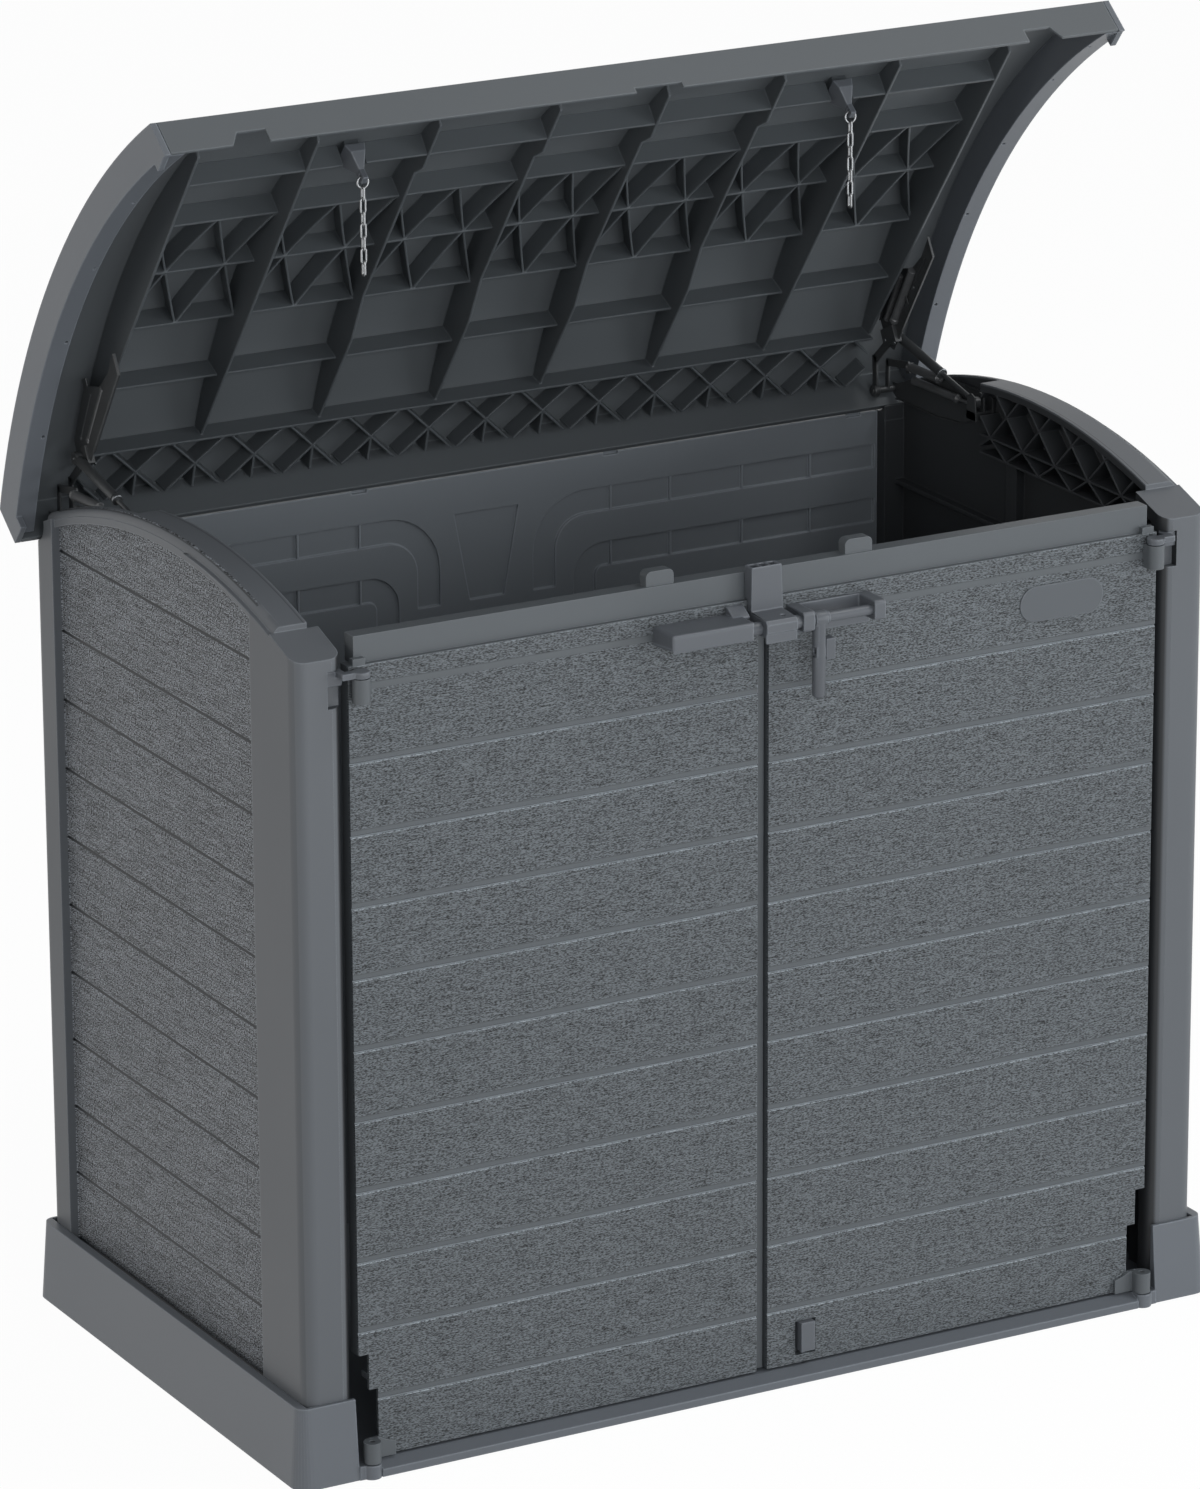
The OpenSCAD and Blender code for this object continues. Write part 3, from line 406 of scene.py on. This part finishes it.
def metal(name, colour, rough, metallic, scale=60.0):
    """Coated or plated metal, a little uneven in colour and gloss."""
    mat, t, bsdf = new_material(name)
    bsdf.inputs["Metallic"].default_value = metallic
    spots = add(t, "ShaderNodeTexNoise", Scale=scale, Detail=4.0, Roughness=0.6)
    link(t, coords(t), spots.inputs["Vector"])
    shades = add(t, "ShaderNodeValToRGB")
    for stop, share in zip(shades.color_ramp.elements, (0.75, 1.25)):
        stop.color = (*(c * share for c in colour), 1)
    link(t, spots.outputs["Fac"], shades.inputs[0])
    link(t, shades.outputs[0], bsdf.inputs["Base Color"])
    link(t, ramp(t, spots.outputs["Fac"], 0.0, 1.0, (rough - 0.08, rough + 0.08)), bsdf.inputs["Roughness"])
    bump = add(t, "ShaderNodeBump", Distance=0.00005)
    link(t, spots.outputs["Fac"], bump.inputs["Height"])
    link(t, bump.outputs[0], bsdf.inputs["Normal"])
    return mat


smooth = plastic("smooth_plastic", (0.124, 0.137, 0.154), 0.40)
door_grain = plastic("door_plastic", (0.094, 0.105, 0.114), 0.46, "door", edge=0.0014)
side_grain = plastic("wall_plastic", (0.110, 0.120, 0.132), 0.44, "wall", edge=0.0024)
# The back wall: a lighter copy of the walls' plastic, as painted light
lit_back_grain = plastic("lit_back_plastic", (0.185, 0.205, 0.225), 0.46, "back", edge=0.0032)
# Lid's ribs and catches: a darker copy of the plastic, as painted shade inside the lid
shaded_interior = plastic("shaded_interior_plastic", (0.070, 0.079, 0.086), 0.44, edge=0.0032)
lid_shell = plastic("lid_plastic", (0.099, 0.110, 0.118), 0.42)
latch = plastic("latch_plastic", (0.104, 0.114, 0.128), 0.36)
plate = plastic("plate_plastic", (0.092, 0.102, 0.113), 0.40)
steel = metal("dark_steel", (0.054, 0.058, 0.061), 0.40, 0.3)
# Spring housings: a lighter copy of the dark steel, as painted light on them in the shade
lit_housing_steel = metal("lit_housing_steel", (0.115, 0.120, 0.125), 0.36, 0.3)
bright = metal("bright_steel", (0.16, 0.17, 0.18), 0.30, 0.8)
wire = metal("plated_wire", (0.30, 0.31, 0.32), 0.35, 0.9, 200.0)

# Materials of the CAD nodes; what isn't named here is dark steel
LOOK = {
    "base_tray": smooth, "lid_end_left": smooth, "lid_end_right": smooth, "lid_skin": lid_shell,
    "wall_left": side_grain, "wall_right": side_grain, "back_wall": lit_back_grain,
    "door_left": door_grain, "door_right": door_grain, "lid_ribs": shaded_interior, "catches": shaded_interior,
    "hinge_arm_left": latch, "hinge_arm_right": latch, "box_handle": latch, "bolt_bracket": latch,
    "bolt_bar": latch, "tee_handle": latch, "tee_clip": latch, "hasp": latch, "foot_bolt": latch,
    "cups": latch, "badge": plate, "chain_left": wire, "chain_right": wire,
}

# Edge radius of the moulded CAD nodes that the photo shows close
SOFT_EDGES = {
    "bolt_bracket": 0.0012, "tee_handle": 0.0008, "hasp": 0.0010, "tee_clip": 0.0008,
    "hinge_arm_left": 0.0012, "hinge_arm_right": 0.0012, "cups": 0.0008,
}


def soft_bevel(ob, width, segments, angle):
    bevel = ob.modifiers.new("soft edges", "BEVEL")
    bevel.width = width
    bevel.segments = segments
    bevel.limit_method = "ANGLE"
    bevel.angle_limit = math.radians(angle)
    return bevel


def dress_nodes():
    for name, ob in nodes.items():
        ob.data.materials.clear()
        ob.data.materials.append(LOOK.get(name, steel))
    for name, width in SOFT_EDGES.items():
        nodes[name].modifiers.new("joined corners", "WELD").merge_threshold = 0.00001
        bevel = soft_bevel(nodes[name], width, 3, 50)
        bevel.use_clamp_overlap = False
        bevel.harden_normals = True


def piece(name, bm, body, mat, soft=0.0006):
    """An object from bm with soft edges, which rides on body."""
    bmesh.ops.recalc_face_normals(bm, faces=bm.faces)
    me = bpy.data.meshes.new(name)
    bm.to_mesh(me)
    bm.free()
    for f in me.polygons:
        f.use_smooth = True
    me.materials.append(mat)
    ob = bpy.data.objects.new(name, me)
    scene.collection.objects.link(ob)
    soft_bevel(ob, soft, 2, 40)
    ob.modifiers.new("flat faces", "WEIGHTED_NORMAL").keep_sharp = True
    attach(ob, body)
    return ob


def prism(bm, first, second):
    """A closed solid between two outlines of as many points."""
    ends = [[bm.verts.new(p) for p in outline] for outline in (first, second)]
    bm.faces.new(ends[0])
    bm.faces.new(list(reversed(ends[1])))
    for i in range(len(first)):
        k = (i + 1) % len(first)
        bm.faces.new((ends[0][i], ends[1][i], ends[1][k], ends[0][k]))


# Box handle: wall and depth of its hollow, its corner radius, and the wedge that hooks over it at the gap.
# The wedge's points are (Y, Z) from the node's upper back edge, and its ends X from the node's right end.
HANDLE_WALL, HANDLE_HOLLOW, HANDLE_CORNER, SAME = 0.007, 0.0195, 0.0050, 0.0001
WEDGE = [(0.0, 0.0), (0.0, 0.0105), (-0.005, 0.0100), (-0.022, -0.001), (-0.022, -0.004), (0.0, -0.004)]
WEDGE_ENDS = (-0.014, 0.011)


def make_box_handle():
    """A moulded hood with soft edges, open below for the fingers, as large as the node it replaces."""
    low, high = (Vector(nodes["box_handle"].bound_box[i]) for i in (0, 6))
    bm = bmesh.new()
    bmesh.ops.create_cube(bm, size=1)
    for v in bm.verts:
        v.co = Vector((low[i] + (v.co[i] + 0.5) * (high[i] - low[i]) for i in range(3)))
    under = min(bm.faces, key=lambda f: f.calc_center_median().z)
    bmesh.ops.inset_region(bm, faces=[under], thickness=HANDLE_WALL)
    bmesh.ops.translate(bm, verts=under.verts, vec=(0, 0, HANDLE_HOLLOW))
    front = [e for e in bm.edges if all(v.co.y < low.y + SAME for v in e.verts)]
    left = [e for e in bm.edges if all(v.co.x < low.x + SAME for v in e.verts)]
    top_left = [e for e in left if all(v.co.z > high.z - SAME for v in e.verts)]
    corners = front + top_left
    bmesh.ops.bevel(bm, geom=corners, offset=HANDLE_CORNER, segments=4, profile=0.6, affect="EDGES")
    prism(bm, *([(high.x + x, high.y + y, high.z + z) for y, z in WEDGE] for x in WEDGE_ENDS))
    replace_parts(piece("box_handle_hood", bm, "left_door", latch, 0.0008), "box_handle")


# Hinge gear on both sides. Places are (Y, Z) in millimetres from the hinge axis, with the lid as shown;
# X is a distance from the middle, in metres. COLLAR is a stretch of the strut, as shares of its length.
axis = next(j for j in frame["record"]["behaviour"]["joints"] if j["name"] == "lid_hinge")["pos_m"]
PIN = (0, 0)
BRACKET_X, STRUT_X, COIL_X, PLATE_X = 0.6380, 0.648, 0.662, 0.6695
STRUT_TOP, STRUT_FOOT, COLLAR = (-42, 91), (-257, 42), (0.560, 0.585)
LID_PLATE = [(-142, 259), (-157, 233), (-74, 106), (-52, 72), (-32, 76), (-14, 108), (-51, 193), (-98, 203),
             (-124, 226)]
WALL_PLATE = [(4, 8), (4, -6), (-8, -14), (-24, -13), (-118, -14), (-183, -8), (-270, 20), (-272, 48),
              (-246, 53), (-133, 47), (-43, 22), (-10, 9)]

# Beads along the plates' rims: thickness along X, and height in millimetres
BEAD = (0.0036, 1.8)

# Bars: start, end, place along X, thickness along X, and height in millimetres
LID_BARS = [
    ((-132, 226), (-108, 189), BRACKET_X - 0.0016, 0.0016, 7),
    ((-66, 196), (-96, 150), BRACKET_X - 0.0045, 0.0014, 1.6),
    ((-60, 100), (-28, 84), BRACKET_X - 0.001, 0.0110, 26),
    ((-40, 84), (2, 46), BRACKET_X, 0.0030, 13),
    ((2, 52), PIN, BRACKET_X, 0.0030, 12),
    ((-57, 186), (-50, 203), BRACKET_X, 0.0030, 12),
]
ARM_BARS = [
    ((0, 40), (-60, 49), STRUT_X + 0.0095, 0.0030, 11),
    ((-2, 44), (-1, 2), STRUT_X + 0.0095, 0.0030, 9),
    ((-52, 43), (-62, 45), STRUT_X + 0.0125, 0.0080, 15),
]
WALL_BARS = [
    ((-246, 52), (-133, 48), PLATE_X - 0.0015, 0.0040, 2.0),
    ((-236, 30), (-246, 30), PLATE_X - 0.006, 0.0140, 16),
]

# Fork of the strut's foot: its cheeks, and half the distance between them. Its base: the two ends, the
# height in millimetres and how far it reaches inwards
FORK_CHEEK = [(-270, 17), (-244, 17), (-247, 52), (-257, 56), (-267, 52)]
FORK_HALF, FORK_BASE, FORK_HIGH, FORK_REACH = 0.00725, ((-270, 24), (-244, 24)), 13, 0.0085

# Sheet thickness of the lid's plate, the wall's plate and the fork's cheeks
LID_SHEET, WALL_SHEET, CHEEK_SHEET = 0.0022, 0.0030, 0.0025

# Spring housings: start, end, place along X and radius. The rod comes out of the lower one on the wall
LID_HOUSINGS = [
    ((-106, 203), (-54, 113), BRACKET_X - 0.004, 0.0066),
    ((-72, 188), (-34, 112), BRACKET_X - 0.003, 0.0048),
]
WALL_HOUSINGS = [
    ((-54, 45), (-141, 47), COIL_X - 0.001, 0.0070),
    ((-66, 27), (-193, 29), COIL_X, 0.0063),
]
SPRING_ROD = ((-190, 29), (-240, 30))

# Rivets on the lid's half: place, and X of the face that they stand on
RIVETS = [((-104, 176), BRACKET_X - 0.0012), ((-62, 86), BRACKET_X - 0.0065), ((-36, 84), BRACKET_X - 0.0065)]
RIVET_HIGH = 0.0018

# Outlines of the turned pieces: share of the length, and radius. The housing's is a share of its own radius
HINGE_BOSS = [(0, 0.0080), (0.15, 0.0092), (0.85, 0.0092), (1, 0.0080)]
HINGE_PIN = [(0, 0.0040), (0.03, 0.005), (1, 0.005)]
STRUT_STUD = [(0, 0.003), (0.9, 0.003), (1, 0.0022)]
RIVET = [(0, 0.0030), (0.6, 0.0028), (1, 0.0014)]
THIN_ROD = [(0, 0.0026), (1, 0.0026)]
COLLAR_RING = [(0, 0.0066), (0.2, 0.0077), (0.8, 0.0077), (1, 0.0060)]
HOUSING = [(0, 0.6), (0.012, 1), (0.05, 1), (0.056, 0.92), (0.90, 0.92), (0.91, 1.06), (0.96, 1.06),
           (0.97, 0.8), (1, 0.55)]


def at_hinge(x, place):
    return Vector((x, axis[1] + place[0] / 1000, axis[2] + place[1] / 1000))


def sheet(bm, side, outline, x, thick):
    """A flat plate in a plane X = const; outline is its corners."""
    prism(bm, *([at_hinge(side * (x + shift), p) for p in outline] for shift in (-thick / 2, thick / 2)))


def bar(bm, side, p, q, x, thick, high):
    """A straight flat bar from p to q, thick along X and high across."""
    d = Vector((q[0] - p[0], q[1] - p[1])).normalized() * high / 2
    sheet(bm, side, [(p[0] - d.y, p[1] + d.x), (q[0] - d.y, q[1] + d.x), (q[0] + d.y, q[1] - d.x),
                     (p[0] + d.y, p[1] - d.x)], x, thick)


def rod(bm, start, end, rings, seg=24):
    """A turned rod from start to end; rings are (share of the length, radius)."""
    line = end - start
    turn = line.to_track_quat("Z", "Y").to_matrix()
    rows = []
    for share, radius in rings:
        c = start + line * share
        rows.append([bm.verts.new(c + turn @ Vector((radius * math.cos(a), radius * math.sin(a), 0)))
                     for a in (2 * math.pi * i / seg for i in range(seg))])
    for a, b in zip(rows, rows[1:]):
        for i in range(seg):
            k = (i + 1) % seg
            bm.faces.new((a[i], a[k], b[k], b[i]))
    bm.faces.new(list(reversed(rows[0])))
    bm.faces.new(rows[-1])


def cross_rod(bm, side, place, x_start, x_end, rings):
    """A turned rod along X."""
    rod(bm, at_hinge(side * x_start, place), at_hinge(side * x_end, place), rings)


def housing(bm, side, p, q, x, r):
    """A closed spring housing with a rolled rim at its far end."""
    rod(bm, at_hinge(side * x, p), at_hinge(side * x, q), [(share, r * wide) for share, wide in HOUSING])


def lid_gear(side):
    """The lid's half: its plate with beads, the arm to the hinge pin, and the strut's upper stud."""
    bm = bmesh.new()
    sheet(bm, side, LID_PLATE, BRACKET_X, LID_SHEET)
    for i in (0, 1, 5):
        bar(bm, side, LID_PLATE[i], LID_PLATE[i + 1], BRACKET_X - 0.0015, *BEAD)
    for values in LID_BARS:
        bar(bm, side, *values)
    cross_rod(bm, side, PIN, BRACKET_X - 0.005, BRACKET_X + 0.004, HINGE_BOSS)
    cross_rod(bm, side, STRUT_TOP, BRACKET_X - 0.002, STRUT_X + 0.007, STRUT_STUD)
    for values in ARM_BARS:
        bar(bm, side, *values)
    return bm


def lid_coils(side):
    bm = bmesh.new()
    for values in LID_HOUSINGS:
        housing(bm, side, *values)
    return bm


def lid_rivets(side):
    bm = bmesh.new()
    for place, x in RIVETS:
        cross_rod(bm, side, place, x, x - RIVET_HIGH, RIVET)
    return bm


def wall_gear(side):
    """The wall's half: its plate with beads, the fork of the strut's foot, and the hinge pin."""
    bm = bmesh.new()
    sheet(bm, side, WALL_PLATE, PLATE_X + 0.0008, WALL_SHEET)
    for a, b in zip(WALL_PLATE[2:8], WALL_PLATE[3:9]):
        bar(bm, side, a, b, PLATE_X - 0.0015, *BEAD)
    for values in WALL_BARS:
        bar(bm, side, *values)
    for x in (STRUT_X - FORK_HALF, STRUT_X + FORK_HALF):
        sheet(bm, side, FORK_CHEEK, x, CHEEK_SHEET)
    inner_end = STRUT_X - FORK_REACH
    bar(bm, side, *FORK_BASE, (inner_end + PLATE_X) / 2, PLATE_X - inner_end, FORK_HIGH)
    cross_rod(bm, side, PIN, BRACKET_X - 0.006, PLATE_X + 0.001, HINGE_PIN)
    return bm


def wall_coils(side):
    bm = bmesh.new()
    for values in WALL_HOUSINGS:
        housing(bm, side, *values)
    rod(bm, *(at_hinge(side * COIL_X, place) for place in SPRING_ROD), THIN_ROD)
    return bm


def strut_collar(side):
    """The ring at the lower end of the strut's tube."""
    bm = bmesh.new()
    top, foot = (at_hinge(side * STRUT_X, place) for place in (STRUT_TOP, STRUT_FOOT))
    start, end = (top.lerp(foot, share) for share in COLLAR)
    rod(bm, start, end, COLLAR_RING)
    return bm


make_camera()
make_world()
dress_nodes()
make_box_handle()
for side, word in ((-1, "left"), (1, "right")):
    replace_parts(piece("lid_gear_" + word, lid_gear(side), "lid", steel), "lid_bracket_" + word)
    piece("lid_coils_" + word, lid_coils(side), "lid", lit_housing_steel, 0.0003)
    piece("lid_rivets_" + word, lid_rivets(side), "lid", bright, 0.0002)
    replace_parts(piece("wall_gear_" + word, wall_gear(side), "shed", steel), "wall_bracket_" + word)
    piece("wall_coils_" + word, wall_coils(side), "shed", lit_housing_steel, 0.0003)
    piece("strut_collar_" + word, strut_collar(side), word + "_tube", bright, 0.0003)
make_floor()
for values in LIGHTS:
    area_light(*values)
